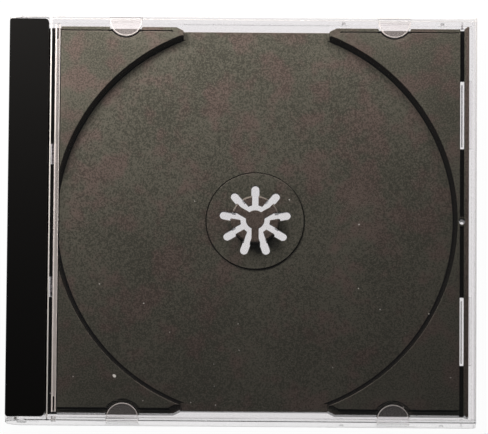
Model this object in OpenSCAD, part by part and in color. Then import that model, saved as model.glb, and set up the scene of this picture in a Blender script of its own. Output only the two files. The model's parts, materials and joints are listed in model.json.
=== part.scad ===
// Clear hinged case for one 120 mm disc, in three mouldings: a back shell, a disc tray
// that snaps into it, and a lid that turns on two pins at the hinge side.
// The closed case lies on its back. X runs from the hinge side to the opening side, Y from
// the bottom edge to the top edge, and Z up through the thickness. The origin is on the
// table, under the middle of the closed case. All sizes are in millimetres.

/* [Case] */
// Width of the closed case, from the hinge side to the opening side
case_w = 142; // [142:0.5:150]
// Length of the hinge side, from the bottom edge to the top edge
case_d = 125; // [124:0.5:132]
// Thickness of the closed case
case_h = 10.1; // [9.9:0.1:12]
// Rounding of the outer edges
edge_r = 0.8; // [0.3:0.1:1]
// Fillet inside the corners of the two clear shells
inner_r = 0.4; // [0.2:0.1:0.8]
// Room between the lid and the shells that it closes over
lid_gap = 0.15; // [0.1:0.05:0.3]

/* [Lid] */
// Thickness of the front panel
panel_t = 1.2; // [1:0.1:1.6]
// Thickness of the side walls and of the hinge arms
lid_wall_t = 1; // [0.9:0.1:1.3]
// Height of the lid's lower edges above the table
lid_foot = 0.1; // [0.1:0.1:0.4]
// Gap along the tray's bar, which the front panel stops short of
bar_gap = 0.5; // [0.4:0.1:1]
// Radius where the front panel's hinge edge runs out into the arms
arm_fillet_r = 1.5; // [0.8:0.1:2.5]
// Space for the booklet between the front panel and the tabs
booklet_gap = 2; // [1.6:0.1:2.2]

/* [Booklet tabs] */
// Radius of the half-moon tabs
tab_r = 4.9; // [4:0.1:5.4]
// Thickness of the tabs
tab_t = 1; // [0.8:0.1:1.1]
// Distance of the first pair of tabs from the hinge side
tab_hinge_x = 35.3; // [33:0.1:38]
// Distance of the second pair of tabs from the opening side
tab_open_x = 25; // [22:0.1:27]
// Length of the slot in the side wall at each tab
slot_l = 10; // [6:0.5:12]
// Height of that slot
slot_h = 1.2; // [0.8:0.1:1.6]
// Height of the slot's lower edge above the table
slot_z = 1.9; // [1.6:0.1:2.4]

/* [Stop rib] */
// Distance of the booklet's stop rib from the front panel's hinge edge
stop_x = 1.5; // [0.8:0.1:1.8]
// Width of the stop rib
stop_w = 1.3; // [0.8:0.1:1.6]
// Depth of the stop rib under the front panel
stop_h = 1.8; // [1:0.1:1.9]
// Clear space between each end of the stop rib and the side wall
stop_end_gap = 1.8; // [1:0.1:4]
// Length of the slit in each end of the stop rib
slit_l = 4.8; // [3:0.1:8]
// Width of the slit
slit_w = 0.7; // [0.3:0.1:0.7]

/* [Closing nubs] */
// Radius of the nubs inside the side walls
nub_r = 0.6; // [0.5:0.05:0.7]
// How far the nubs stand out of the side walls
nub_out = 0.35; // [0.2:0.05:0.4]
// Height of the nubs
nub_h = 3; // [2:0.1:4]
// Distance of the nubs by the corner from the opening side
nub_corner_x = 10.4; // [8:0.1:14]
// Distance of the nubs by the middle from the opening side
nub_middle_x = 40.5; // [38:0.1:42]

/* [Hinge] */
// Radius of the pins inside the arms
pin_r = 1.5; // [1.2:0.1:1.8]
// Length of the pins
pin_l = 1.4; // [1.2:0.1:1.5]
// Radial room of a pin in its hole
pin_gap = 0.05; // [0.03:0.01:0.08]
// Chamfer on the end of a pin
pin_tip = 0.3; // [0.1:0.1:0.5]

/* [Back shell] */
// Thickness of the back
back_t = 1.2; // [1:0.1:1.4]
// Thickness of the wall at the hinge side
hinge_wall_t = 1.1; // [1:0.1:1.3]
// Thickness of the wall at the opening side
open_wall_t = 1.5; // [1:0.1:1.6]
// Width of the ears that hold the pins
ear_w = 10.3; // [8.5:0.1:10.5]
// Thickness of the ears
ear_t = 1.2; // [1:0.1:1.3]
// Corner radius of the ears
ear_r = 2.5; // [1:0.1:3]
// Thickness of the low ribs along the top and bottom edges
rib_t = 0.9; // [0.7:0.1:1]
// Height of the low ribs above the back
rib_h = 2.2; // [1.5:0.1:2.6]
// Room on each side of a nub in the low ribs
nub_room = 0.6; // [0.4:0.1:1]

/* [Tray] */
// Wall thickness of the tray
tray_t = 1.1; // [0.9:0.05:1.2]
// Room for an inlay card under the tray
card_gap = 0.3; // [0.2:0.05:0.5]
// Room for the card's folded edge at the opening side
card_edge_gap = 0.8; // [0.6:0.1:1]
// Space between the ledge's long edges and the lid's side walls
tray_edge_gap = 1.9; // [1.8:0.1:2.4]
// Depth of the ledge's top under the booklet
ledge_drop = 0.2; // [0.1:0.05:0.4]
// Depth of the step along the ledge's long edges
step_h = 0.8; // [0.5:0.1:1]
// Width of that step
step_w = 1.5; // [1:0.1:1.6]
// Width of the fine line at the foot of that step
step_line_w = 0.45; // [0.3:0.05:0.6]

/* [Bar] */
// Width of the bar that shows beside the front panel
bar_w = 12; // [11.5:0.1:12.5]
// Depth of the bar's top below the front panel's face
bar_drop = 0.4; // [0.2:0.1:0.6]
// Rounding of the bar's top edges
bar_edge_r = 0.5; // [0.3:0.1:0.8]
// Radius of the bar's corners at the hinge side
bar_corner_r = 0.9; // [0.6:0.1:1.5]
// Width of the channel between the bar and the ledge
channel_w = 3.6; // [3.4:0.1:3.8]
// Height of the channel's floor above the tray's foot
channel_z = 1.7; // [1.5:0.1:1.9]

/* [Disc well] */
// Radius of the well at the ledge's top
well_r = 61.4; // [61:0.1:61.4]
// Radius of the well at its floor
well_foot_r = 60.2; // [60.1:0.1:60.6]
// Depth of the well below the ledge
well_depth = 2.8; // [2.4:0.1:3]
// Distance of the disc's centre from the hinge side
well_x = 75; // [74.8:0.1:75]
// Half the width of the openings between the ledges' ends
mouth_half_w = 22.2; // [20:0.1:24]
// Chamfer at the ledges' ends
mouth_chamfer = 2.2; // [1:0.1:3]
// How far the floor stops short of the ledge's edge in those openings
mouth_setback = 1.1; // [0.6:0.1:1.4]

/* [Hub] */
// Radius of the raised seat that the disc lies on
seat_r = 14.75; // [12:0.05:16]
// Height of the seat above the well's floor
seat_h = 0.4; // [0.2:0.1:0.6]
// Width of the fine line cut round the seat
seat_line_w = 0.3; // [0.2:0.05:0.5]
// Depth of the fine lines in the tray's floor and along the ledge's step
line_depth = 0.3; // [0.1:0.05:0.4]
// Radius of the hub, which the disc's 15 mm hole presses over
hub_r = 7.4; // [7.3:0.05:7.45]
// Height of the hub above the seat
hub_h = 2.6; // [2.2:0.1:2.8]
// Chamfer round the hub's top
hub_chamfer = 0.5; // [0.2:0.1:0.7]
// How far the grip round the teeth stands out
grip_out = 0.12; // [0.05:0.01:0.15]
// Number of slots between the teeth
slot_count = 9; // [9:3:12]
// Radius that the slots reach out to
slot_tip_r = 10.9; // [10:0.1:11.5]
// Width of the slots between the teeth
tooth_slot_w = 1.9; // [1.5:0.1:2.1]
// Width of the slots outside the hub
tip_slot_w = 2.4; // [2.2:0.1:2.6]
// Radius of the button in the middle
button_r = 2.85; // [2.5:0.05:3.2]
// Radius where the free teeth end
tooth_tip_r = 4.5; // [4.2:0.1:5]
// Width of the spokes that hold the button
spoke_w = 2.2; // [1.8:0.1:2.4]

/* [Tray edge at the opening side] */
// Width of the groove that lets the edge strip bend
groove_w = 1.2; // [1:0.1:1.4]
// Width of the edge strip
strip_w = 1.5; // [1.2:0.1:1.5]
// Height of the groove's floor above the tray's foot
groove_z = 1.9; // [1.6:0.1:2.4]
// Length of the slots through the groove
groove_slot_l = 21; // [15:0.5:26]
// Distance of those slots from the middle
groove_slot_y = 33.4; // [28:0.1:38]
// How far the edge strip runs past the ledge at each end
strip_over = 0.6; // [0:0.1:0.7]
// Slanting cut at each end of the edge strip, beside the groove
strip_cut = 0.9; // [0.5:0.1:1]
// Length of the solid bridge in the middle of the groove
gate_l = 3; // [2.4:0.1:5]
// Depth of the bridge's top under the ledge
gate_drop = 0.2; // [0.1:0.05:0.4]
// Radius of the small hole through the bridge, at its lower end
gate_r = 0.5; // [0.3:0.05:0.55]
// Radius of that hole at its mouth
gate_mouth_r = 0.95; // [0.7:0.05:1]

/* [Catches] */
// Distance of the hooks in the channel from the middle
hook_y = 20.5; // [16:0.1:26]
// Length of the hooks
hook_l = 6; // [4:0.1:8]
// Thickness of the hooks
hook_t = 1; // [0.8:0.05:1.1]
// How far a hook or bead reaches over the tray
catch_over = 0.35; // [0.25:0.05:0.4]
// Room between the catches and the tray
catch_gap = 0.1; // [0.08:0.01:0.15]
// Height of a hook's sloping head
hook_head_h = 1; // [0.6:0.1:1.2]
// Height of a bead's blunt edge
bead_edge_h = 0.35; // [0.2:0.05:0.5]
// Height of the edge strip's lip under the beads, above the tray's foot
lip_h = 1.5; // [1.2:0.1:2]
// Length of the guide ribs that stand in the groove's slots
guide_l = 19; // [12:0.5:20]
// Width of the guide ribs
guide_w = 0.4; // [0.3:0.05:0.5]
// Height of the guide ribs above the back
guide_h = 1.6; // [1:0.1:2]

/* [Hidden] */
$fn = 96;
eps = 0.01;
edge_y = case_d / 2;
wall_y = edge_y - lid_wall_t;
shell_y = wall_y - lid_gap;
lid_h = case_h - lid_foot;
panel_z = case_h - panel_t;
panel_x = bar_w + bar_gap;
arm_r = lid_h / 2;
hinge_x = arm_r;
hinge_z = lid_foot + arm_r;
hole_r = pin_r + pin_gap;
tab_z = panel_z - booklet_gap - tab_t;
tab_xs = [tab_hinge_x, case_w - tab_open_x];
nub_xs = [case_w - nub_middle_x, case_w - nub_corner_x];
nub_z = back_t + 2 * lid_gap;
ear_y = shell_y - ear_t;
open_wall_z = panel_z - lid_gap;
open_wall_x = case_w - open_wall_t;
bar_top_z = case_h - bar_drop;
bar_under_z = bar_top_z - tray_t;
hinge_wall_z = bar_under_z - lid_gap;
bar_end_y = ear_y - 3 * lid_gap;
foot_z = back_t + card_gap;
tray_y = wall_y - tray_edge_gap;
ledge_z = tab_z + tab_t - ledge_drop;
step_z = ledge_z - step_h;
ledge_x = bar_w + channel_w;
channel_top_z = foot_z + channel_z;
floor_z = ledge_z - well_depth;
strip_x = open_wall_x - card_edge_gap - strip_w;
groove_x = strip_x - groove_w;
groove_floor_z = foot_z + groove_z;
floor_y = tray_y - mouth_setback;
seat_z = floor_z + seat_h;
hub_z = seat_z + hub_h;
strip_edge_x = strip_x + strip_w;
strip_y = tray_y + strip_over;
notch_r = tab_r + 3 * lid_gap;
notch_ring_r = notch_r + step_h;
recess_z = foot_z + tray_t;
slot_step = 360 / slot_count;
slot_turn = slot_step / 4;
spoke_count = 3;
spoke_step = 360 / spoke_count;
spoke_turn = slot_turn + slot_step / 2;
mouth_end_x = mouth_half_w + mouth_chamfer + tray_t;
gate_x = groove_x + groove_w / 2;
gate_top_z = ledge_z - gate_drop;
reach = 3;
hook_x = bar_w + (channel_w - hook_t) / 2 - catch_over / 2;

// Moves a shape drawn from the hinge side to the middle of the case
module from_hinge_side() {
  translate([-case_w / 2, 0, 0]) children();
}

// Repeats a shape at the top edge and, mirrored, at the bottom edge
module both_edges() {
  for (side = [0, 1]) mirror([0, side, 0]) children();
}

// Stands a drawing of Y and Z up, and runs it along X
module along_x(from, to) {
  translate([from, 0, 0]) rotate([90, 0, 90]) linear_extrude(to - from) children();
}

// Stands a drawing of X and Z up, and runs it along Y
module along_y(from, to) {
  translate([0, to, 0]) rotate([90, 0, 0]) linear_extrude(to - from) children();
}

// Lays a drawing of X and Y flat, and runs it along Z
module along_z(from, to) {
  translate([0, 0, from]) linear_extrude(to - from) children();
}

// A box between two opposite corners
module box(low, high) {
  translate(low) cube(high - low);
}

// A flat bar of width w from y = 0 to h, with both upper corners rounded
module round_topped(w, h, r) {
  translate([-w / 2, 0]) square([w, h - r]);
  translate([-w / 2 + r, 0]) square([w - 2 * r, h]);
  for (side = [-1, 1]) translate([side * (w / 2 - r), h - r]) circle(r);
}

// A rectangle whose left and right corners have their own radii
module rounded_plan(x0, x1, half_y, left_r, right_r) {
  translate([x0 + left_r, -half_y]) square([x1 - x0 - left_r - right_r, 2 * half_y]);
  translate([x0, -half_y + left_r]) square([left_r * 2, 2 * (half_y - left_r)]);
  translate([x1 - 2 * right_r, -half_y + right_r]) square([right_r * 2, 2 * (half_y - right_r)]);
  for (side = [-1, 1]) {
    translate([x0 + left_r, side * (half_y - left_r)]) circle(left_r);
    translate([x1 - right_r, side * (half_y - right_r)]) circle(right_r);
  }
}

// Lid: the section across its length is a shallow channel
module lid_section() {
  translate([0, lid_foot]) difference() {
    round_topped(case_d, lid_h, edge_r);
    translate([0, -eps]) round_topped(2 * wall_y, lid_h - panel_t + eps, inner_r);
  }
}

// Lid seen from the side: the arms end in a half circle round the hinge
module lid_side() {
  translate([hinge_x, hinge_z]) circle(arm_r);
  translate([hinge_x, lid_foot + edge_r]) square([case_w - hinge_x, lid_h - 2 * edge_r]);
  translate([hinge_x, lid_foot]) square([case_w - hinge_x - edge_r, lid_h]);
  for (z = [lid_foot + edge_r, case_h - edge_r]) translate([case_w - edge_r, z]) circle(edge_r);
}

// One half-moon tab, which stands out of the top side wall
module tab(x) {
  intersection() {
    translate([x, wall_y, tab_z]) cylinder(r = tab_r, h = tab_t);
    box([x - 2 * tab_r, 0, 0], [x + 2 * tab_r, wall_y + lid_wall_t / 2, case_h]);
  }
}

// One hinge pin, with a chamfered end
module hinge_pin() {
  translate([hinge_x, wall_y + lid_wall_t / 2, hinge_z]) rotate([90, 0, 0]) {
    cylinder(r = pin_r, h = lid_wall_t / 2 + pin_l - pin_tip);
    translate([0, 0, lid_wall_t / 2 + pin_l - pin_tip - eps])
      cylinder(r1 = pin_r, r2 = pin_r - pin_tip, h = pin_tip + eps);
  }
}

// The rib that stops the booklet, slit at both ends
module stop_rib() {
  x = panel_x + stop_x;
  end_y = wall_y - stop_end_gap;
  difference() {
    box([x, -end_y, panel_z - stop_h], [x + stop_w, end_y, panel_z + eps]);
    both_edges() translate([x + (stop_w - slit_w) / 2, end_y - slit_l, panel_z - stop_h - eps])
      cube([slit_w, slit_l + eps, stop_h]);
  }
}

module lid() {
  color([0.86, 0.89, 0.91, 0.45]) from_hinge_side() {
    difference() {
      intersection() {
        along_x(0, case_w) lid_section();
        along_y(-edge_y, edge_y) lid_side();
      }
      along_z(-eps, case_h + eps)
        rounded_plan(-reach, panel_x, wall_y, eps, arm_fillet_r);
      both_edges() for (x = tab_xs)
        translate([x - slot_l / 2, wall_y - eps, slot_z]) cube([slot_l, lid_wall_t + 2 * eps, slot_h]);
    }
    stop_rib();
    both_edges() {
      hinge_pin();
      for (x = tab_xs) tab(x);
      for (x = nub_xs) translate([x, wall_y + nub_r - nub_out, nub_z]) cylinder(r = nub_r, h = nub_h);
    }
  }
}

// Back shell: its section across the width, a floor between two upright walls
module back_section() {
  difference() {
    union() {
      translate([edge_r, 0]) square([case_w - 2 * edge_r, open_wall_z]);
      translate([0, edge_r]) square([case_w, open_wall_z - edge_r]);
      for (x = [edge_r, case_w - edge_r]) translate([x, edge_r]) circle(edge_r);
    }
    translate([hinge_wall_t, back_t + inner_r])
      square([open_wall_x - hinge_wall_t, open_wall_z]);
    translate([hinge_wall_t + inner_r, back_t])
      square([open_wall_x - hinge_wall_t - 2 * inner_r, open_wall_z]);
    for (x = [hinge_wall_t + inner_r, open_wall_x - inner_r])
      translate([x, back_t + inner_r]) circle(inner_r);
    translate([-eps, hinge_wall_z]) square([hinge_wall_t + 2 * eps, open_wall_z]);
  }
}

// The ear at the top edge, which a hinge pin turns in
module ear() {
  along_y(ear_y, shell_y) difference() {
    union() {
      translate([0, edge_r]) square([ear_w, hinge_wall_z - edge_r - ear_r]);
      translate([0, edge_r]) square([ear_w - ear_r, hinge_wall_z - edge_r]);
      translate([ear_w - ear_r, hinge_wall_z - ear_r]) circle(ear_r);
    }
    translate([hinge_x, hinge_z]) circle(hole_r);
  }
}

// Low rib along the top edge, open at the tray's mouth and at the lid's nubs
module low_rib() {
  difference() {
    box([panel_x, shell_y - rib_t, back_t - eps], [open_wall_x, shell_y, back_t + rib_h]);
    box([well_x - mouth_half_w, 0, back_t], [well_x + mouth_half_w, edge_y, case_h]);
    for (x = nub_xs)
      box([x - nub_r - nub_room, 0, back_t], [x + nub_r + nub_room, edge_y, case_h]);
  }
}

// A hook that rises through the tray's channel and holds its floor down
module hook() {
  head_z = channel_top_z + catch_gap;
  translate([hook_x, hook_y - hook_l / 2, 0]) along_y(0, hook_l) polygon([
    [0, back_t - eps],
    [hook_t, back_t - eps],
    [hook_t, head_z],
    [hook_t + catch_gap + catch_over, head_z],
    [0, head_z + hook_head_h],
  ]);
}

// A bead inside the opening-side wall, which enters the notch in the tray's edge strip
module bead() {
  low_z = foot_z + lip_h + catch_gap;
  over = open_wall_x - strip_edge_x + catch_over;
  along_y(groove_slot_y - groove_slot_l / 2, groove_slot_y + groove_slot_l / 2)
    polygon([
      [open_wall_x + eps, low_z],
      [open_wall_x - over, low_z],
      [open_wall_x - over, low_z + bead_edge_h],
      [open_wall_x + eps, low_z + bead_edge_h + over],
    ]);
}

// A low rib that stands in the groove's slot and keeps the tray in line
module guide() {
  translate([gate_x - guide_w / 2, groove_slot_y - guide_l / 2, back_t - eps])
    cube([guide_w, guide_l, guide_h + eps]);
}

module back_shell() {
  color([0.84, 0.87, 0.89, 0.45]) from_hinge_side() {
    difference() {
      along_y(-shell_y, shell_y) back_section();
      both_edges() along_y(ear_y - eps, shell_y + eps) translate([hinge_x, hinge_z]) circle(hole_r);
    }
    both_edges() {
      ear();
      low_rib();
      hook();
      bead();
      guide();
    }
  }
}

// Plan of the ledge, drawn in by the given amount, with a chamfered mouth at each long edge
module ledge_plan(x0, x1, inset) {
  mouth_x = mouth_half_w + inset;
  y = tray_y - inset;
  difference() {
    translate([x0, -y]) square([x1 - x0, 2 * y]);
    both_edges() translate([well_x, 0]) polygon([
      [-mouth_x, floor_y - inset],
      [-mouth_x - mouth_chamfer, y + eps],
      [mouth_x + mouth_chamfer, y + eps],
      [mouth_x, floor_y - inset],
    ]);
  }
}

// The well, wider at the ledge than at its floor
module well() {
  slope = (well_r - well_foot_r) / well_depth;
  translate([well_x, 0, floor_z])
    cylinder(r1 = well_foot_r, r2 = well_foot_r + slope * case_h, h = case_h, $fn = 180);
}

// What is open above the tray's floor between the ledges' ends
module mouth() {
  box([well_x - mouth_half_w, 0, floor_z], [well_x + mouth_half_w, edge_y, case_h]);
}

// The space under the ledge and the floor, one wall thickness inside the tray's top
module tray_underside() {
  in_y = tray_y - step_w - tray_t;
  low = foot_z - eps;
  difference() {
    box([ledge_x + tray_t, -in_y, low], [groove_x - tray_t, in_y, ledge_z - tray_t]);
    translate([well_x, 0, floor_z - tray_t])
      cylinder(r = well_r + tray_t, h = case_h, $fn = 180);
    both_edges() {
      box([well_x - mouth_end_x, 0, floor_z - tray_t], [well_x + mouth_end_x, edge_y, case_h]);
      for (x = tab_xs) translate([x, wall_y, low]) cylinder(r = notch_r + tray_t, h = case_h);
    }
  }
}

// The recess that a lid tab sinks into, with a shallow ring round it
module tab_notch(x) {
  translate([x, wall_y, recess_z]) cylinder(r = notch_r, h = case_h);
  translate([x, wall_y, step_z]) cylinder(r = notch_ring_r, h = case_h);
}

// Slots of the rosette, in groups between the spokes that hold the button
module rosette() {
  difference() {
    union() {
      circle(tooth_tip_r);
      for (i = [0 : slot_count - 1]) rotate(slot_turn + slot_step * i) {
        translate([0, -tooth_slot_w / 2]) square([hub_r + eps, tooth_slot_w]);
        translate([hub_r, -tip_slot_w / 2]) square([slot_tip_r - tip_slot_w / 2 - hub_r, tip_slot_w]);
        translate([slot_tip_r - tip_slot_w / 2, 0]) circle(d = tip_slot_w);
      }
    }
    circle(button_r);
    for (i = [0 : spoke_count - 1]) rotate(spoke_turn + spoke_step * i)
      translate([0, -spoke_w / 2]) square([hub_r, spoke_w]);
  }
}

// The hub: a hollow cap, chamfered on top, with a fine grip just under the chamfer
module hub_cap() {
  top = hub_h;
  rotate_extrude() polygon([
    [0, -seat_h - eps],
    [hub_r, -seat_h - eps],
    [hub_r, top - 3 * hub_chamfer],
    [hub_r + grip_out, top - 2 * hub_chamfer],
    [hub_r, top - hub_chamfer],
    [hub_r - hub_chamfer, top],
    [0, top],
  ]);
}

module hub() {
  translate([well_x, 0, 0]) {
    along_z(floor_z - eps, seat_z) circle(seat_r);
    translate([0, 0, seat_z]) hub_cap();
  }
}

module hub_openings() {
  translate([well_x, 0, 0]) {
    along_z(foot_z - eps, case_h) rosette();
    along_z(foot_z - eps, hub_z - tray_t) circle(hub_r - tray_t);
  }
}

// The bar's top, rounded along its edges and at its corners
module bar_top() {
  intersection() {
    along_y(-shell_y, shell_y)
      translate([bar_w / 2, 0]) round_topped(bar_w, bar_top_z, bar_edge_r);
    along_x(-eps, bar_w + eps) round_topped(2 * shell_y, bar_top_z, bar_edge_r);
    along_z(bar_under_z, bar_top_z + eps)
      rounded_plan(0, bar_w, shell_y, bar_corner_r, arm_fillet_r);
  }
}

// The bar is a hollow box, open underneath, that covers the hinge-side wall and the ears
module bar() {
  skirt_x = hinge_wall_t + card_gap;
  bar_top();
  difference() {
    box([skirt_x, -bar_end_y, foot_z], [bar_w, bar_end_y, bar_under_z + eps]);
    box([skirt_x + tray_t, -bar_end_y + tray_t, foot_z - eps],
      [bar_w - tray_t, bar_end_y - tray_t, bar_under_z]);
  }
}

// The channel beside the bar, with a window for each hook
module channel() {
  under_z = channel_top_z - tray_t;
  window_x = hook_x - 2 * catch_gap;
  difference() {
    box([bar_w - tray_t, -tray_y, under_z], [ledge_x + tray_t, tray_y, channel_top_z]);
    both_edges() translate([window_x, hook_y - hook_l / 2 - 2 * catch_gap, under_z - eps])
      cube([hook_t + 3 * catch_gap, hook_l + 4 * catch_gap, tray_t + 2 * eps]);
  }
}

// The groove, its slots and the space under its floor
module groove() {
  under_z = groove_floor_z - tray_t;
  end_y = tray_y - step_w;
  both_edges() {
    box([groove_x, gate_l / 2, groove_floor_z], [strip_x, edge_y, case_h]);
    box([groove_x, -eps, gate_top_z], [strip_x, gate_l, case_h]);
    box([groove_x, groove_slot_y - groove_slot_l / 2, 0],
      [strip_x, groove_slot_y + groove_slot_l / 2, case_h]);
    box([groove_x, -eps, 0], [strip_x, end_y, under_z]);
  }
  slope = (gate_mouth_r - gate_r) / (gate_top_z - under_z);
  translate([gate_x, 0, under_z - eps])
    cylinder(r1 = gate_r, r2 = gate_r + slope * case_h, h = case_h);
}

// The edge strip beside the groove, with its ends cut slanting
module edge_strip() {
  along_z(foot_z, ledge_z) polygon([
    [strip_x, strip_cut - strip_y],
    [strip_x + strip_cut, -strip_y],
    [strip_edge_x, -strip_y],
    [strip_edge_x, strip_y],
    [strip_x + strip_cut, strip_y],
    [strip_x, strip_y - strip_cut],
  ]);
}

// The notches in the edge strip that the back shell's beads enter
module bead_notches() {
  notch_x = strip_edge_x - catch_over - catch_gap;
  notch_y = groove_slot_l / 2 + catch_gap;
  notch_z = foot_z + lip_h;
  notch_h = bead_edge_h + catch_over + 2 * catch_gap;
  both_edges() box([notch_x, groove_slot_y - notch_y, notch_z],
    [case_w, groove_slot_y + notch_y, notch_z + notch_h]);
}

// Fine lines round the seat and at the foot of the ledge's step
module lines() {
  along_z(floor_z - line_depth, case_h) translate([well_x, 0]) difference() {
    circle(seat_r + seat_line_w);
    circle(seat_r);
  }
  line_y = tray_y - step_w;
  for (range = [[ledge_x, well_x - mouth_end_x], [well_x + mouth_end_x, groove_x - step_line_w]])
    both_edges() box([range[0], line_y, step_z - line_depth],
      [range[1], line_y + step_line_w, step_z + eps]);
}

module disc_tray() {
  color([0.1, 0.1, 0.1]) from_hinge_side() {
    bar();
    channel();
    difference() {
      union() {
        difference() {
          union() {
            along_z(foot_z, step_z) ledge_plan(ledge_x, strip_edge_x, 0);
            along_z(foot_z, ledge_z)
              intersection() {
                ledge_plan(ledge_x, groove_x, step_w);
                translate([ledge_x, -tray_y]) square([case_w, 2 * tray_y]);
              }
            box([groove_x - tray_t, -tray_y + step_w, foot_z], [groove_x, tray_y - step_w, ledge_z]);
            edge_strip();
          }
          well();
          both_edges() mouth();
        }
        hub();
      }
      tray_underside();
      groove();
      bead_notches();
      hub_openings();
      lines();
      both_edges() for (x = tab_xs) tab_notch(x);
    }
  }
}

back_shell();
disc_tray();
lid();
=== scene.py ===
# %% [markdown]
# # A clear hinged case for one disc
# The object is three mouldings: a clear back shell, a black tray that snaps into it, and a
# clear lid that turns on two pins. The lid is shut, and the case lies on its back on a white
# sweep, seen from nearly straight above. The lid is a thin window over the black tray, so the
# look comes from small things: how the etched tray scatters the lamps, where it is polished
# instead, where shade and highlights are painted onto the tray, and how each clear edge draws a
# thin bright line, partly from its rounded bevel and partly as painted highlight.

# %% Load the imported model
import json
import math

import bpy
from mathutils import Matrix, Vector

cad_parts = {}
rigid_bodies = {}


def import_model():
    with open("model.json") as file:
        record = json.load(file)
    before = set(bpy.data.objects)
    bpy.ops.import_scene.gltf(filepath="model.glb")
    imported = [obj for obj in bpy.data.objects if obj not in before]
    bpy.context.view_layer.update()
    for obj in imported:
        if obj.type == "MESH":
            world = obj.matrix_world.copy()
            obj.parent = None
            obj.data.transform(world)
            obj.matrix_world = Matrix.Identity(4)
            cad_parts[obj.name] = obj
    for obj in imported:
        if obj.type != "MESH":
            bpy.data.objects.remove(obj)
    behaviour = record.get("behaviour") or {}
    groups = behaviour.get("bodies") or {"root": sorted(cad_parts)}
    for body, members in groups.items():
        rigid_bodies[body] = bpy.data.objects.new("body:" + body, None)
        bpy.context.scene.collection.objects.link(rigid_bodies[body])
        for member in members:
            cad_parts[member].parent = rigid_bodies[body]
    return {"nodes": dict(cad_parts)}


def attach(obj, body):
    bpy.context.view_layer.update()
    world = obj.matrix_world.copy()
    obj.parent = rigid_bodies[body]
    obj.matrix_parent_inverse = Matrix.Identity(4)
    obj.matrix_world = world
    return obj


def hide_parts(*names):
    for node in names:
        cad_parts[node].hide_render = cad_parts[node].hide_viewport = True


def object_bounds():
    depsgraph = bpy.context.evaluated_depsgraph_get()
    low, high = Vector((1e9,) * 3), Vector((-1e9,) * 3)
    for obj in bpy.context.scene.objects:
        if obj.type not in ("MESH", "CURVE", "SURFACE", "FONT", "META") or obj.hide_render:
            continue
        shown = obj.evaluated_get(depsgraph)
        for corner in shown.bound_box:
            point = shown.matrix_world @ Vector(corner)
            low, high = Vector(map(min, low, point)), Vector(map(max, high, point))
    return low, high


MM = 1000.0

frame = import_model()
cad_low, cad_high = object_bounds()
case_size = cad_high - cad_low
case_middle = (cad_low + cad_high) / 2
print("case size in mm:", [round(side * MM, 2) for side in case_size])

# %% [markdown]
# ## Shader maths as Python
# A material is a graph of nodes. Written by hand it takes a line for each link, so a small
# class wraps a socket and turns + - * and ** into Math nodes. One method makes every other
# kind of node from its type, its settings and its inputs, which keeps each material readable.

# %% A socket that can be added and multiplied
class Value:
    def __init__(self, graph, socket):
        self.graph = graph
        self.socket = socket

    def maths(self, operation, first, second):
        return self.graph.node("ShaderNodeMath", {"operation": operation}, {0: first, 1: second})

    def __add__(self, other):
        return self.maths("ADD", self, other)

    def __radd__(self, other):
        return self.maths("ADD", other, self)

    def __sub__(self, other):
        return self.maths("SUBTRACT", self, other)

    def __rsub__(self, other):
        return self.maths("SUBTRACT", other, self)

    def __mul__(self, other):
        return self.maths("MULTIPLY", self, other)

    def __rmul__(self, other):
        return self.maths("MULTIPLY", other, self)

    def __pow__(self, other):
        return self.maths("POWER", self, other)

    def above(self, limit):
        return self.maths("GREATER_THAN", self, limit)

    def below(self, limit):
        return self.maths("LESS_THAN", self, limit)

    def most(self, other):
        return self.maths("MAXIMUM", self, other)


# %% A graph that makes nodes
LITTLE_DETAIL = 1.0
PLAIN_DETAIL = 2.0
MORE_DETAIL = 3.0
MOST_DETAIL = 4.0


class Graph:
    def __init__(self, owner):
        owner.use_nodes = True
        self.owner = owner
        self.nodes = owner.node_tree.nodes
        self.links = owner.node_tree.links
        self.nodes.clear()

    def node(self, kind, settings, inputs, output=0):
        made = self.nodes.new(kind)
        for setting, value in settings.items():
            setattr(made, setting, value)
        for socket, value in inputs.items():
            if isinstance(value, Value):
                self.links.new(value.socket, made.inputs[socket])
            else:
                made.inputs[socket].default_value = value
        return None if output is None else Value(self, made.outputs[output])

    def part(self, vector, axis):
        return self.node("ShaderNodeSeparateXYZ", {}, {0: vector}, axis)

    def noise(self, place, scale, detail=PLAIN_DETAIL):
        inputs = {"Vector": place, "Scale": scale, "Detail": detail}
        return self.node("ShaderNodeTexNoise", {}, inputs)

    def smooth(self, value, low, high):
        inputs = {"Value": value, "From Min": low, "From Max": high}
        return self.node("ShaderNodeMapRange", {"interpolation_type": "SMOOTHSTEP"}, inputs)

    def blend(self, factor, first, second):
        inputs = {"Factor": factor, "A": first, "B": second}
        return self.node("ShaderNodeMix", {"data_type": "RGBA"}, inputs, "Result")

    def mix(self, share, first, second):
        return self.node("ShaderNodeMixShader", {}, {0: share, 1: first, 2: second})

    def surface(self, shader, kind="ShaderNodeOutputMaterial"):
        self.node(kind, {}, {"Surface": shader}, None)
        print(self.owner.name, "nodes:", len(self.nodes))
        return self.owner


# %% [markdown]
# ## The photograph's view
# The case fills the frame and its sides stay almost parallel, so the lens is long and far
# away. The camera leans 11 degrees towards the bottom edge, which shows a narrow strip of
# the lid's side wall there, and it is turned by half a degree.

# %% Lens
FRAME_WIDTH_PX = 488
PX_PER_MM = 3.3
CAMERA_DISTANCE = 2.6
SENSOR_MM = 36
VIEW_DEPTH = 20

seen_width = FRAME_WIDTH_PX / PX_PER_MM / MM
camera_data = bpy.data.cameras.new("camera")
camera_data.sensor_width = SENSOR_MM
camera_data.lens = SENSOR_MM * CAMERA_DISTANCE / seen_width
camera_data.clip_end = VIEW_DEPTH
print("lens in mm:", round(camera_data.lens, 1))

# %% Camera's place
CAMERA_LEAN = math.radians(11)
CAMERA_ROLL = math.radians(0.45)
AIM_RIGHT_PX = 2.0
AIM_UP_PX = 3.8

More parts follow.
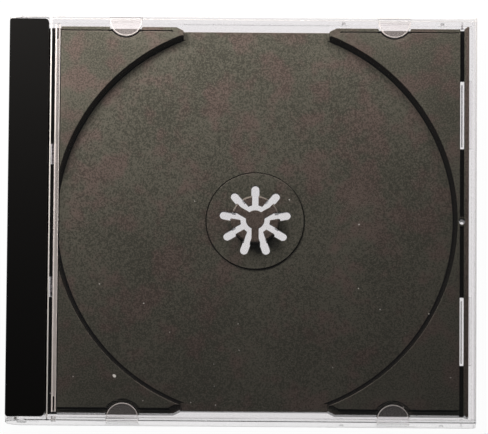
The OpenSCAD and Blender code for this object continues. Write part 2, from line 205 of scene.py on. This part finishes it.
camera = bpy.data.objects.new("camera", camera_data)
bpy.context.scene.collection.objects.link(camera)
metre_per_px = seen_width / FRAME_WIDTH_PX
aim = case_middle + Vector((AIM_RIGHT_PX * metre_per_px, AIM_UP_PX * metre_per_px, 0))
camera_back = Vector((0, -math.sin(CAMERA_LEAN), math.cos(CAMERA_LEAN)))
camera.location = aim + camera_back * CAMERA_DISTANCE
leaning = Matrix.Rotation(CAMERA_LEAN, 3, "X")
camera.rotation_euler = (leaning @ Matrix.Rotation(CAMERA_ROLL, 3, "Z")).to_euler()
bpy.context.scene.camera = camera
print("camera at:", [round(side, 3) for side in camera.location])

# %% [markdown]
# ## White floor
# The floor shows plain white to the camera, and a little less through the clear plastic,
# where the case shades it: least near the bottom edge and under the hub. A plain diffuse floor
# would turn grey between the lamps, so most of it glows for these rays. A small share stays
# white paper, which takes the case's soft shadow, and for every other ray it is all paper.

# %% Floor
WHITE = (1, 1, 1, 1)
PAPER = (0.9, 0.9, 0.9, 1)
FLOOR_SIDE = 3
FLOOR_GLOW = 0.97
THROUGH_NEAR = 0.84
THROUGH_FAR = 0.92
FADE_OF_DEPTH = 0.55
HUB_SHADE = 0.12
SHADE_FROM_M = 0.01
SHADE_TO_M = 0.06


def floor_finish():
    graph = Graph(bpy.data.materials.new("white sweep"))
    seen = graph.node("ShaderNodeLightPath", {}, {}, "Is Camera Ray")
    mirrored = graph.node("ShaderNodeLightPath", {}, {}, "Is Glossy Ray")
    through = graph.node("ShaderNodeLightPath", {}, {}, "Is Transmission Ray")
    place = graph.node("ShaderNodeTexCoord", {}, {}, "Object")
    x, y = graph.part(place, "X"), graph.part(place, "Y")
    fade = case_size.y * FADE_OF_DEPTH
    under_clear = THROUGH_NEAR + (THROUGH_FAR - THROUGH_NEAR) * graph.smooth(y, -fade, fade)
    open_sky = graph.smooth((x * x + y * y) ** 0.5, SHADE_FROM_M, SHADE_TO_M)
    under_clear = under_clear * (1 - HUB_SHADE * (1 - open_sky))
    strength = seen + (1 - seen) * under_clear
    paper = graph.node("ShaderNodeBsdfDiffuse", {}, {"Color": PAPER})
    glow = graph.node("ShaderNodeEmission", {}, {"Color": WHITE, "Strength": strength})
    return graph.surface(graph.mix(seen.most(mirrored).most(through) * FLOOR_GLOW, paper, glow))


bpy.ops.object.select_all(action="DESELECT")
bpy.ops.mesh.primitive_plane_add(size=FLOOR_SIDE, location=(0, 0, 0))
floor = bpy.context.object
floor.name = "floor"
floor.data.materials.append(floor_finish())

# %% [markdown]
# ## Lamps and world
# One lamp hangs near the top left corner and a strip lamp runs along the top edge: together
# they light the etched tray strongly at the top left and weakly at the bottom right, and
# throw the shadow of the round well's wall onto the well's floor along the upper half. So
# near a glossy lid they would be mirrored as two bright panels in the side views, so they are
# left out of mirror images and only light the case. A dim even world fills the shadows; the
# camera itself sees it white, like the floor.

# %% Lamps
LAMP_COLOUR = (1.0, 0.93, 0.87)
KEY_PLACE = (-0.10, 0.112, 0.092)
KEY_AIM = (-0.03, 0.04, 0)
KEY_SIDE = 0.05
KEY_POWER = 0.275
STRIP_PLACE = (-0.006, 0.108, 0.058)
STRIP_AIM = (-0.008, 0.02, 0)
STRIP_LENGTH = 0.24
STRIP_DEPTH = 0.02
STRIP_POWER = 0.27


def lamp(name, place, aim, width, depth, power):
    data = bpy.data.lights.new(name, "AREA")
    data.shape = "RECTANGLE"
    data.size = width
    data.size_y = depth
    data.color = LAMP_COLOUR
    data.energy = power
    made = bpy.data.objects.new(name, data)
    made.location = place
    made.rotation_euler = (Vector(aim) - Vector(place)).to_track_quat("-Z", "Y").to_euler()
    made.visible_glossy = False
    made.visible_transmission = False
    bpy.context.scene.collection.objects.link(made)
    print(name, "hangs", round(place[2] * MM), "mm over the floor")


lamp("key lamp", KEY_PLACE, KEY_AIM, KEY_SIDE, KEY_SIDE, KEY_POWER)
lamp("strip lamp", STRIP_PLACE, STRIP_AIM, STRIP_LENGTH, STRIP_DEPTH, STRIP_POWER)

# %% World
WORLD_LEVEL = 0.055

world = bpy.data.worlds.new("even light")
bpy.context.scene.world = world
sky = Graph(world)
sky_level = sky.node("ShaderNodeLightPath", {}, {}, "Is Camera Ray").most(WORLD_LEVEL)
sky_light = sky.node("ShaderNodeBackground", {}, {"Color": WHITE, "Strength": sky_level})
sky.surface(sky_light, "ShaderNodeOutputWorld")
bpy.context.scene.view_settings.view_transform = "Standard"

# %% [markdown]
# ## Edges that catch the light
# A moulding has no knife edges: each one is rounded by a tenth of a millimetre or so, and that
# thin round is what draws a bright line beside a dark wall. The solid's edges are sharp, so a
# copy of it is merged, and a narrow bevel runs along each of its sharp edges. The normals are
# weighted by face area, so that the flat floors stay flat right up to the bevel.

# %% A copy with rounded edges
ROUND_M = 0.0001
ROUND_STEPS = 2
SAME_PLACE_M = 1e-6
SHARP_ANGLE = math.radians(35)
SMOOTH_ANGLE = math.radians(40)
FULL_WEIGHT = 100


def merged_copy(node_name):
    source = frame["nodes"][node_name]
    bpy.ops.object.select_all(action="DESELECT")
    source.select_set(True)
    bpy.context.view_layer.objects.active = source
    bpy.ops.object.duplicate()
    piece = bpy.context.object
    piece.name = "soft_" + node_name
    bpy.ops.object.parent_clear(type="CLEAR_KEEP_TRANSFORM")
    bpy.ops.object.mode_set(mode="EDIT")
    bpy.ops.mesh.select_all(action="SELECT")
    bpy.ops.mesh.remove_doubles(threshold=SAME_PLACE_M)
    bpy.ops.object.mode_set(mode="OBJECT")
    return piece


def rounded(node_name, body):
    piece = merged_copy(node_name)
    bevel = piece.modifiers.new("rounding", "BEVEL")
    bevel.width = ROUND_M
    bevel.segments = ROUND_STEPS
    bevel.limit_method = "ANGLE"
    bevel.angle_limit = SHARP_ANGLE
    bevel.use_clamp_overlap = False
    bevel.loop_slide = False
    bpy.ops.object.modifier_apply(modifier="rounding")
    bpy.ops.object.shade_smooth_by_angle(angle=SMOOTH_ANGLE)
    weighted = piece.modifiers.new("flat beside bevels", "WEIGHTED_NORMAL")
    weighted.mode = "FACE_AREA"
    weighted.weight = FULL_WEIGHT
    weighted.keep_sharp = True
    bpy.ops.object.modifier_apply(modifier="flat beside bevels")
    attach(piece, body)
    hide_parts(node_name)
    print(piece.name, "faces:", len(piece.data.polygons))
    return piece


# %% The three mouldings
soft_back = rounded("back_shell", "base_body")
soft_tray = rounded("disc_tray", "base_body")
soft_lid = rounded("lid", "lid_body")


def dress(piece, material):
    piece.data.materials.clear()
    piece.data.materials.append(material)
    print(piece.name, "wears", material.name)


# %% [markdown]
# ## Places on the case
# Every pattern below is laid out in millimetres from the middle of the case, read from Object
# coordinates, and the way a face points is turned from the world into the piece's own frame.
# So a pattern stays on its moulding wherever the hinge carries it.

# %% Patterns in millimetres
def axes(graph):
    place = graph.node("ShaderNodeTexCoord", {}, {}, "Object")
    return place, graph.part(place, "X") * MM, graph.part(place, "Y") * MM, \
        graph.part(place, "Z") * MM


def facing(graph):
    turn = {"vector_type": "NORMAL", "convert_from": "WORLD", "convert_to": "OBJECT"}
    in_world = graph.node("ShaderNodeNewGeometry", {}, {}, "True Normal")
    own = graph.node("ShaderNodeVectorTransform", turn, {"Vector": in_world})
    return graph.part(own, "Y"), graph.part(own, "Z")


def size_of(value):
    return value.maths("ABSOLUTE", value, 0.0)


def within(value, low, high):
    return value.above(low) * value.below(high)


def far_from(x, y, centre_x, centre_y):
    return ((x - centre_x) ** 2.0 + (y - centre_y) ** 2.0) ** 0.5


# %% [markdown]
# ## Clear polystyrene
# The lid and the back shell are closed solids, so a refracting shader bends light at every
# wall as the real plastic does. Lamps would cast a black shadow through it, so shadow rays
# go through a plain transparent shader. Some places scatter light instead, and each of the
# two mouldings says where: there a share of a plain scattering shader covers the clear one.
# On the lid that share is partly etching and dust and partly painted highlight along edges.

# %% Clear plastic
POLYSTYRENE_IOR = 1.585
CLEAR_ROUGH = 0.01
SMEAR_ROUGH = 0.05
SMEAR_SCALE = 60.0
SMEAR_RANGE = (0.5, 0.8)
FROST_ROUGH = 0.5


def clear_plastic(name, tint, scatter_share, scatter_colour):
    graph = Graph(bpy.data.materials.new(name))
    place, x, y, z = axes(graph)
    smear = graph.smooth(graph.noise(place, SMEAR_SCALE, MOST_DETAIL), *SMEAR_RANGE)
    clear = graph.node("ShaderNodeBsdfPrincipled", {}, {
        "Base Color": tint,
        "Roughness": CLEAR_ROUGH + smear * SMEAR_ROUGH,
        "IOR": POLYSTYRENE_IOR,
        "Transmission Weight": 1.0,
    })
    scatter = graph.node("ShaderNodeBsdfPrincipled", {}, {
        "Base Color": scatter_colour(graph, place),
        "Roughness": FROST_ROUGH,
    })
    # On the lid the scatter share holds painted highlights as well as etching and dust.
    body = graph.mix(scatter_share(graph, place, x, y, z), clear, scatter)
    open_air = graph.node("ShaderNodeBsdfTransparent", {}, {"Color": tint})
    shadow = graph.node("ShaderNodeLightPath", {}, {}, "Is Shadow Ray")
    return graph.surface(graph.mix(shadow, body, open_air))


# %% [markdown]
# ## Dust on the lid
# A few white specks lie on the lid, mostly on its lower half. The cells of a flat Voronoi
# pattern give each speck a place, and the colour of a cell draws whether it holds one. Specks
# could be small meshes too, but as a pattern they leave the lid one clean piece. One larger,
# longer speck lies near the lower left tab.

# %% Dust
DUST_SCALE = 140.0
DUST_RADIUS = 0.028
DUST_SHARE = 0.15
DUST_FADE_Y = (20.0, -40.0)
DUST_COVER = 0.7
GRIT_SCALE = 3500.0
GRIT_RANGE = (0.4, 0.5)
SPECK_AT = (-38.1, -48.9)
SPECK_R = 0.5
SPECK_SLANT = 0.3


def dust(graph, place, x, y):
    flat = {"voronoi_dimensions": "2D"}
    cells = {"Vector": place, "Scale": DUST_SCALE}
    near = graph.node("ShaderNodeTexVoronoi", flat, cells, "Distance")
    draw = graph.node("ShaderNodeTexVoronoi", flat, cells, "Color")
    chance = graph.node("ShaderNodeSeparateColor", {}, {0: draw}, "Red")
    held = (chance + graph.smooth(y, *DUST_FADE_Y) * DUST_SHARE).above(1.0)
    grit = graph.smooth(graph.noise(place, GRIT_SCALE), *GRIT_RANGE)
    small = near.below(DUST_RADIUS) * held * grit * DUST_COVER
    slanted_x = SPECK_AT[0] + SPECK_AT[1] * SPECK_SLANT
    large = far_from(x + y * SPECK_SLANT, y, slanted_x, SPECK_AT[1]).below(SPECK_R)
    return small.most(large)


print("dust cells are", round(MM / DUST_SCALE, 1), "mm apart")


# %% [markdown]
# ## Lid: etched tabs and painted highlights
# The mould was etched at the booklet tabs. A pale scattering ring at each tab's rim, on the
# stop rib, along the panel's hinge edge and on the rounded edges that face the lamps is painted
# highlight: it stands for the thin white lines these clear edges draw. The painted share on the
# rib and the hinge edge grows near the bottom, where the lamps light them less, and rounded
# edges that face the bottom are left clear.

# %% Tabs
TAB_XS = (-35.7, 46.0)
TAB_Y = 61.5
TAB_R = 4.9
TAB_RIM = 0.25
TAB_Z = (5.7, 7.1)
TAB_FILL = 0.08
TAB_FILL_MORE = 0.01
TAB_FADE_Y = 20.0
# Share of the pale ring at each tab's rim, which is painted highlight.
TAB_RIM_HIGHLIGHT_SHARE = 0.6
SLACK = 0.02


def tab_frost_and_rim_highlight(graph, x, y, z):
    share = 0.0
    fill = TAB_FILL + graph.smooth(y, -TAB_FADE_Y, TAB_FADE_Y) * TAB_FILL_MORE
    for tab_x in TAB_XS:
        r = far_from(x, size_of(y), tab_x, TAB_Y)
        disc = r.below(TAB_R + SLACK) * within(z, *TAB_Z)
        # The pale ring at the rim is painted highlight; the fill is the etched tab.
        share = disc * (fill + r.above(TAB_R - TAB_RIM) * TAB_RIM_HIGHLIGHT_SHARE) + share
    return share


print("tabs in mm across:", 2 * TAB_R)


# %% Rounded edges that face the lamps: painted highlight
EDGE_UP = (0.15, 0.97)
EDGE_BACK = -0.3
EDGE_HIGHLIGHT_SHARE = 0.3


def painted_edge_highlight(graph):
    back, up = facing(graph)
    # Pale scatter on the rounded edges that face the lamps is painted highlight.
    return within(up, *EDGE_UP) * back.above(EDGE_BACK) * EDGE_HIGHLIGHT_SHARE


# %% Stop rib, hinge edge and the whole lid: painted highlights, etched tabs and dust
STOP_RIB_X = (-57.05, -55.65)
STOP_RIB_Z = (6.9, 8.85)
RIB_EDGE_HIGHLIGHT_X = (-57.05, -56.7)
HINGE_EDGE_X = (-58.55, -58.15)
HINGE_EDGE_Z = 8.8
LID_TOP_Z = 10.0
LINE_FADE_Y = (30.0, -50.0)
# Shares of the painted highlight on the rib, its left edge and the hinge edge.
RIB_HIGHLIGHT_SHARE = (0.2, 0.3)
RIB_EDGE_HIGHLIGHT_SHARE = 0.5
HINGE_HIGHLIGHT_SHARE = (0.45, 0.4)
PALE_SCALE = 900.0
# One pale scatter colour serves the etched tabs, the dust and the painted highlights.
PALE_FROST_AND_HIGHLIGHT = (0.80, 0.80, 0.79, 1)
WARM_FROST_AND_HIGHLIGHT = (0.76, 0.74, 0.72, 1)


def lid_frost_and_highlights(graph, place, x, y, z):
    # The rib, its left edge and the hinge edge are pale scatter as painted highlight, with a
    # larger share towards the bottom, where the lamps light them less.
    lower = graph.smooth(y, *LINE_FADE_Y)
    rib = within(x, *STOP_RIB_X) * within(z, *STOP_RIB_Z)
    rib_edge_highlight = within(x, *RIB_EDGE_HIGHLIGHT_X) * rib * RIB_EDGE_HIGHLIGHT_SHARE
    hinge_edge = within(x, *HINGE_EDGE_X) * z.above(HINGE_EDGE_Z)
    lines = rib * (RIB_HIGHLIGHT_SHARE[0] + lower * RIB_HIGHLIGHT_SHARE[1]) + rib_edge_highlight
    lines = lines + hinge_edge * (HINGE_HIGHLIGHT_SHARE[0] + lower * HINGE_HIGHLIGHT_SHARE[1])
    specks = dust(graph, place, x, y) * z.above(LID_TOP_Z)
    return (tab_frost_and_rim_highlight(graph, x, y, z) + lines + painted_edge_highlight(graph)).most(specks)


# The colour of the etched tabs, the dust and the painted highlights on the lid.
def pale_frost_and_highlight(graph, place):
    return graph.blend(graph.noise(place, PALE_SCALE), PALE_FROST_AND_HIGHLIGHT, WARM_FROST_AND_HIGHLIGHT)


LID_TINT = (0.98, 0.966, 0.974, 1)
dress(soft_lid, clear_plastic("clear lid", LID_TINT, lid_frost_and_highlights, pale_frost_and_highlight))

# %% [markdown]
# ## Back shell: where it scatters
# The heads of the two hooks show as small mottled areas beside the bar, and the two thin
# guide ribs as a darker line down the middle of each long slot. Both are the same scattering
# shader with a colour that jumps between dark and mid grey in a fine noise.

# %% Hooks, guide ribs and the whole back
HOOK_X = -50.0
HOOK_Y = 20.5
HOOK_HALF = 3.4
HOOK_Z = 1.3
HOOK_FILL = (0.75, 0.2)
GUIDE_X = 66.6
GUIDE_HALF = 0.3
GUIDE_Z = 1.25
GUIDE_FILL = 0.6
HOOK_GRAIN = 1500.0
MOTTLE_GRAIN = 1300.0
MOTTLE_RANGE = (0.4, 0.6)
DARK_FROST = (0.03, 0.025, 0.035, 1)
MID_FROST = (0.36, 0.33, 0.36, 1)


def back_frost(graph, place, x, y, z):
    grain = graph.smooth(graph.noise(place, HOOK_GRAIN, LITTLE_DETAIL), *MOTTLE_RANGE)
    hook = x.below(HOOK_X) * size_of(size_of(y) - HOOK_Y).below(HOOK_HALF) * z.above(HOOK_Z)
    guide = size_of(x - GUIDE_X).below(GUIDE_HALF) * z.above(GUIDE_Z)
    return hook * (HOOK_FILL[0] + grain * HOOK_FILL[1]) + guide * GUIDE_FILL


def mottled_frost(graph, place):
    grain = graph.smooth(graph.noise(place, MOTTLE_GRAIN, LITTLE_DETAIL), *MOTTLE_RANGE)
    return graph.blend(grain, DARK_FROST, MID_FROST)


BACK_TINT = (0.97, 0.955, 0.963, 1)
dress(soft_back, clear_plastic("clear back", BACK_TINT, back_frost, mottled_frost))

# %% [markdown]
# ## Black tray: etched, polished and painted shade
# The tray's flat floors and ledges are etched, so they scatter the lamps into a warm grey
# veil with a fine grain. Its steps, the wall of the well and the spine bar are polished, and
# stay nearly black beside them. A narrow polished ring at the well's foot, a little wider along
# the upper half, is painted shadow of the wall: together with the wall it draws the dark ring
# round the well. The floors of the fine lines and of the groove are kept polished as painted
# shade in these recesses. The line round the seat is etched towards the top, a painted light
# that fades it out where the lamps shine into it. The borders could be cut into the mesh, but
# masks made from a point's place and the way its face points leave the solid as it is.

# %% Where the tray is etched, and where shade and light are painted
BAR_EDGE_X = -58.9
FLAT_UP = 0.42
HUB_UP = 0.3
STEP_LINE_Z = 5.6
STEP_LINE_HALF = 0.1
GROOVE_FLOOR_Z = 3.45
WELL_FLOOR_Z = 3.85
HUB_X = 4.0
HUB_R = 7.8
HUB_FOOT_Z = 5.35
SEAT_R = 20.0
# Where the seat line turns etched towards the top, which paints light into it.
SEAT_LIGHT_FADE_Y = (-6.0, 12.0)
# From FOOT_R outward, wider towards the top, the polished ring is painted shadow of the well's
# wall.
FOOT_R = 59.75
WALL_SHADOW_MORE = 0.15
WALL_SHADOW_FADE_Y = 20.0
FOOT_TOP_Z = 4.25
WALL_END_Y = 56.0


def etched_with_painted_shade(graph, x, y, z, up, from_hub, hub):
    # Polished floors of the step line and, lower down, of the deeper lines and the groove are
    # painted shade in these recesses.
    step_line = size_of(z - STEP_LINE_Z).below(STEP_LINE_HALF)
    # Etching the seat line's top half paints light into it.
    seat_line_painted_light = from_hub.below(SEAT_R) * graph.smooth(y, *SEAT_LIGHT_FADE_Y)
    deep = graph.smooth(z, GROOVE_FLOOR_Z, WELL_FLOOR_Z).most(seat_line_painted_light)
    # Polished ring at the well's foot: painted shadow of the wall, wider towards the top.
    wall_shadow_r = FOOT_R + graph.smooth(y, -WALL_SHADOW_FADE_Y, WALL_SHADOW_FADE_Y) * WALL_SHADOW_MORE
    painted_wall_shadow = (from_hub - wall_shadow_r).above(0.0) * z.below(FOOT_TOP_Z) * size_of(y).below(WALL_END_Y)
    flat = up.above(FLAT_UP).most(hub * up.above(HUB_UP))
    return x.above(BAR_EDGE_X) * flat * deep * (1 - step_line) * (1 - painted_wall_shadow)


# The polished ring printed here is painted shadow of the well's wall.
print("polished ring starts in mm from the hub:", FOOT_R, "to", FOOT_R + WALL_SHADOW_MORE)


# %% [markdown]
# ## Black tray: its colour
# A fine noise with a broad one in it moves the veil between dark and light, and a slower one
# moves it between red-brown and olive. The hub and the strip beside the groove stay reddish.
# The rounded edges that face the lamps get a lighter painted highlight, which draws the thin
# line along the lower rim of the well and the bright arc on the hub.

# %% Colour of the etched faces, with the painted edge highlight
GRAIN_SCALE = 2210.0
CLOUD_SCALE = 45.0
PATCH_SCALE = 130.0
GRAIN_WEIGHT = 0.8
GRAIN_RANGE = (0.42, 0.58)
OLIVE_SLOPE = 0.0004
OLIVE_RANGE = (0.34, 0.54)
STRIP_X = 67.6
RED_BROWN = (0.052, 0.043, 0.037, 1)
OLIVE = (0.041, 0.043, 0.034, 1)
RED_VEIL = (0.106, 0.089, 0.077, 1)
OLIVE_VEIL = (0.089, 0.091, 0.073, 1)
# Colour of the painted highlight on rounded edges that face the lamps.
EDGE_HIGHLIGHT_COLOUR = (0.17, 0.16, 0.14, 1)


def tray_tone(graph, place, x, y, grain, hub, lamp_side_highlight):
    cloud = graph.noise(place, CLOUD_SCALE, MORE_DETAIL)
    patch = graph.noise(place, PATCH_SCALE)
    olive = graph.smooth(patch - y * OLIVE_SLOPE, *OLIVE_RANGE)
    hue = olive * (1 - x.above(STRIP_X).most(hub))
    dark = graph.blend(hue, RED_BROWN, OLIVE)
    light = graph.blend(hue, RED_VEIL, OLIVE_VEIL)
    speckle = grain * GRAIN_WEIGHT + cloud * (1 - GRAIN_WEIGHT)
    veil = graph.blend(graph.smooth(speckle, *GRAIN_RANGE), dark, light)
    # Rounded edges that face the lamps take the painted highlight colour.
    return graph.blend(lamp_side_highlight, veil, EDGE_HIGHLIGHT_COLOUR)


print("grain of the veil in mm:", round(MM / GRAIN_SCALE, 2))


# %% Black plastic
ROUND_UP = 0.97
LAMP_SIDE = 0.25
BUMP_STRENGTH = 0.35
BUMP_M = 0.00003
SATIN_ROUGH = 0.42
GRAIN_ROUGH = 0.06
ROUND_SHEEN = 0.22
POLISHED = (0.0055, 0.0055, 0.0055, 1)
GLOSS_ROUGH = 0.05
WIPE_ROUGH = 0.06
WIPE_SCALE = 35.0
GLOSS_LEVEL = 0.2


def black_plastic():
    graph = Graph(bpy.data.materials.new("black satin"))
    place, x, y, z = axes(graph)
    back, up = facing(graph)
    from_hub = far_from(x, y, HUB_X, 0.0)
    hub = from_hub.below(HUB_R) * z.above(HUB_FOOT_Z)
    etched_with_shade = etched_with_painted_shade(graph, x, y, z, up, from_hub, hub)
    round_edge = up.below(ROUND_UP)
    # Mask of the painted highlight: rounded edges that face the lamps.
    lamp_side_highlight = round_edge * back.above(LAMP_SIDE)
    grain = graph.noise(place, GRAIN_SCALE, MORE_DETAIL)
    bump = graph.node("ShaderNodeBump", {}, {
        "Strength": BUMP_STRENGTH,
        "Distance": BUMP_M,
        "Height": grain * etched_with_shade,
    })
    satin = graph.node("ShaderNodeBsdfPrincipled", {}, {
        "Base Color": tray_tone(graph, place, x, y, grain, hub, lamp_side_highlight),
        "Roughness": SATIN_ROUGH + grain * GRAIN_ROUGH - round_edge * ROUND_SHEEN,
        "Normal": bump,
    })
    gloss = graph.node("ShaderNodeBsdfPrincipled", {}, {
        "Base Color": POLISHED,
        "Roughness": GLOSS_ROUGH + graph.noise(place, WIPE_SCALE, MOST_DETAIL) * WIPE_ROUGH,
        "Specular IOR Level": GLOSS_LEVEL,
    })
    return graph.surface(graph.mix(etched_with_shade, gloss, satin))


dress(soft_tray, black_plastic())
